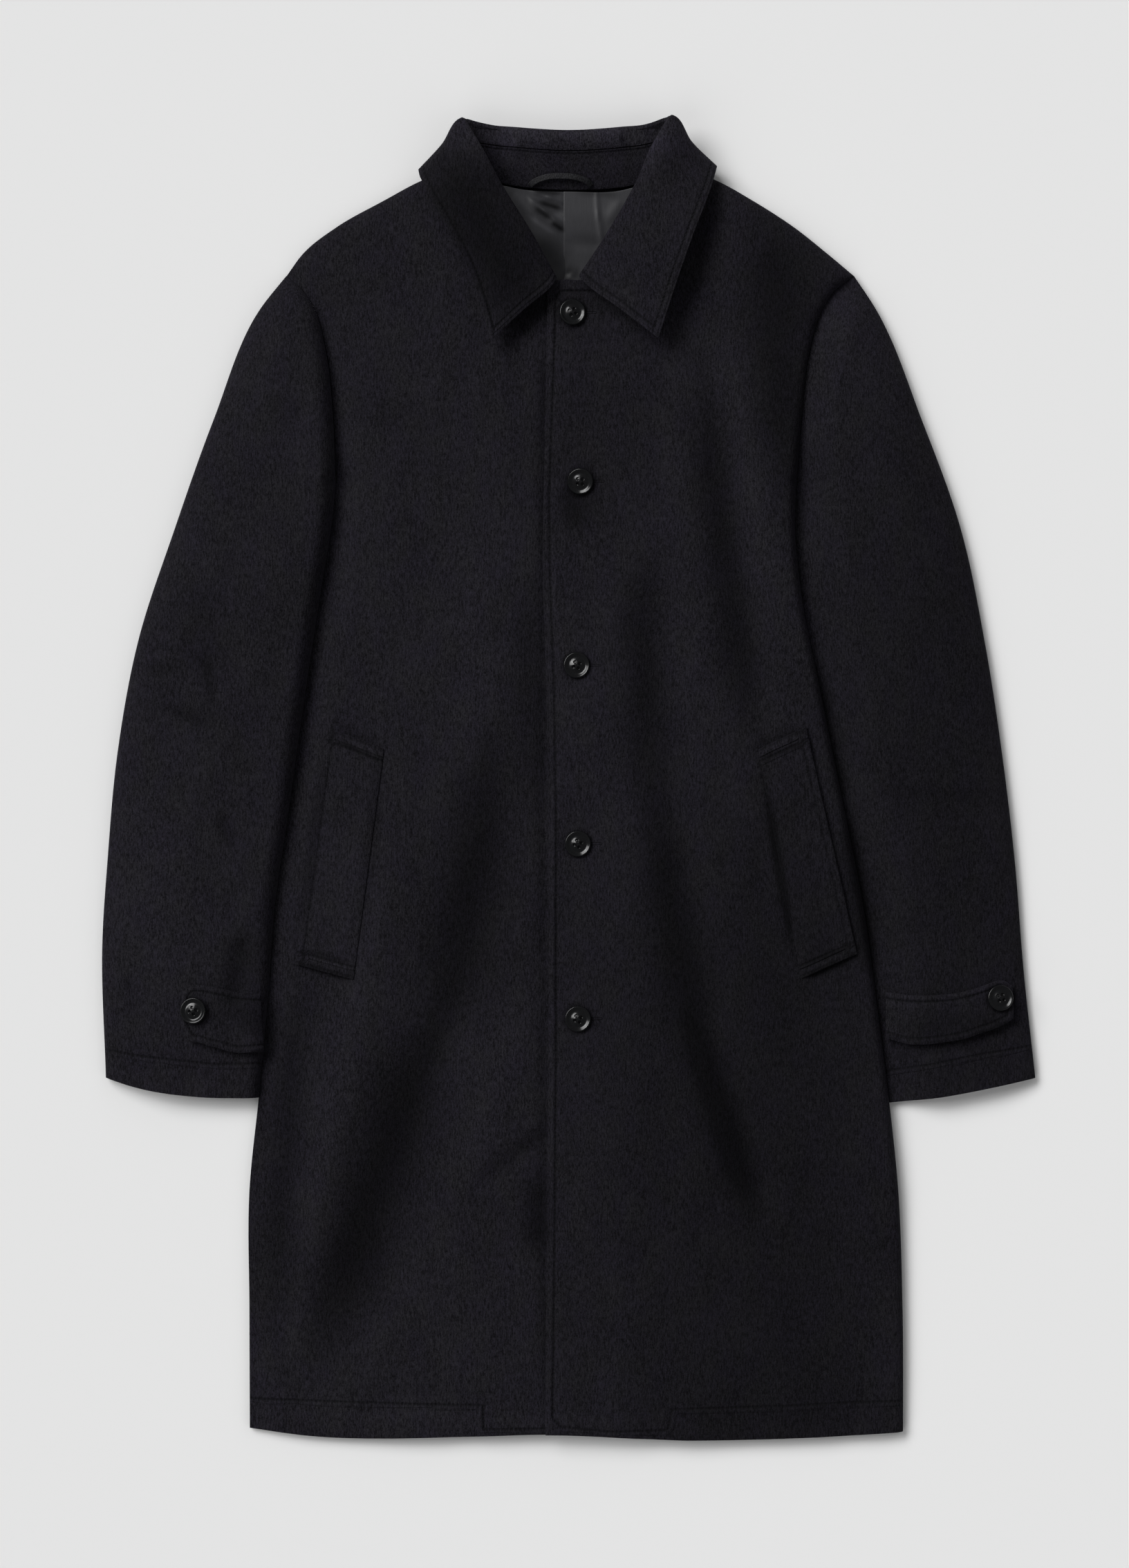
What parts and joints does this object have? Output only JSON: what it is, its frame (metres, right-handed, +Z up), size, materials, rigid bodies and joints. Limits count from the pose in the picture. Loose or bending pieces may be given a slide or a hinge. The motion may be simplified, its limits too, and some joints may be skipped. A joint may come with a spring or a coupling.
{
  "type": "single-breasted wool coat",
  "caption": "Black wool single-breasted coat with a point collar, slanted welt pockets and buttoned cuff tabs, laid out flat on its back.",
  "frame": {"origin": "bottom centre of the box around the laid coat, on the surface it lies on", "axes": "+X towards the viewer's right (the wearer's left), +Y from the hem to the collar, +Z up from the surface"},
  "size_m": [0.7384, 1.0438, 0.0402],
  "materials": {
    "wool": "matte",
    "lining": "satin",
    "button": "gloss"
  },
  "bodies": {
    "root": {"back": "wool", "front_left": "wool", "front_right": "wool", "sleeve_left_upper": "wool", "sleeve_left_under": "wool", "sleeve_right_upper": "wool", "sleeve_right_under": "wool", "collar_stand": "wool", "collar_fall": "wool", "pocket_welt_left": "wool", "pocket_welt_right": "wool", "cuff_tab_left": "wool", "cuff_tab_right": "wool", "hanger_loop": "wool", "back_lining_left": "lining", "back_lining_right": "lining", "button_front_1": "button", "button_front_2": "button", "button_front_3": "button", "button_front_4": "button", "button_front_5": "button", "button_cuff_left": "button", "button_cuff_right": "button"}
  },
  "joints": []
}
